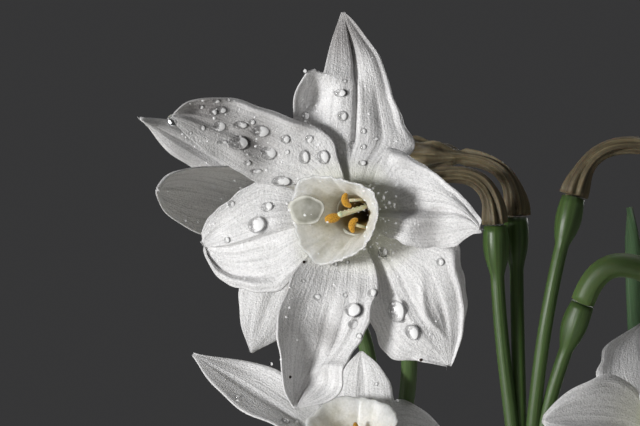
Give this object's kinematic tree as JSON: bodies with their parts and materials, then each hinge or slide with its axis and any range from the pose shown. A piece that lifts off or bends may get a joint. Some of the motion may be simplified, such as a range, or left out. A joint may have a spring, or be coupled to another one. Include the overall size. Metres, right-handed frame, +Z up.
{
  "type": "potted flowering bulb plant",
  "caption": "Potted paperwhite narcissus: strap leaves and umbels of white star-shaped flowers with shallow cups, growing from bulbs in a round clay bulb pan.",
  "frame": {"origin": "middle of the pot's underside, where the pot's axis meets the surface it stands on", "axes": "+Z straight up along the pot's axis, -Y towards the front, the side that the main bloom faces, +X to the viewer's right"},
  "size_m": [0.2413, 0.2172, 0.4303],
  "materials": {
    "terracotta": "unglazed fired clay, matt",
    "soil": "damp compost, rough",
    "bulb_tunic": "dry papery brown skin, satin",
    "leaf": "waxy blue-green leaf, satin",
    "stalk": "smooth green stalk, satin",
    "spathe": "dry papery sheath, thin and matt",
    "petal": "soft white tepal with a fine sparkle",
    "cup": "cream cup, thin and satin",
    "anther": "powdery orange pollen",
    "bud": "greenish white bud, satin",
    "withered": "dry shrunken tepals, thin and matt",
    "water": "clear water drops"
  },
  "bodies": {
    "root": {"bloom_01": "petal", "bloom_02": "petal", "bloom_03": "petal", "bloom_04": "petal", "bloom_05": "petal", "bloom_06": "petal", "bloom_07": "petal", "bloom_08": "petal", "bloom_09": "petal", "bloom_10": "petal", "bloom_11": "petal", "bloom_12": "petal", "bud_01": "bud", "bud_02": "bud", "bud_03": "bud", "bud_04": "bud", "bud_05": "bud", "bulb_1": "bulb_tunic", "bulb_2": "bulb_tunic", "bulb_3": "bulb_tunic", "leaf_01": "leaf", "leaf_02": "leaf", "leaf_03": "leaf", "leaf_04": "leaf", "leaf_05": "leaf", "leaf_06": "leaf", "leaf_07": "leaf", "leaf_08": "leaf", "leaf_09": "leaf", "leaf_10": "leaf", "leaf_11": "leaf", "leaf_12": "leaf", "leaf_13": "leaf", "pot": "terracotta", "scape_1": "stalk", "scape_2": "stalk", "scape_3": "stalk", "scape_4": "stalk", "soil": "soil", "spathe_1": "spathe", "spathe_2": "spathe", "spathe_3": "spathe", "spathe_4": "spathe", "spent_01": "withered", "spent_02": "withered", "spent_03": "withered"}
  },
  "joints": []
}
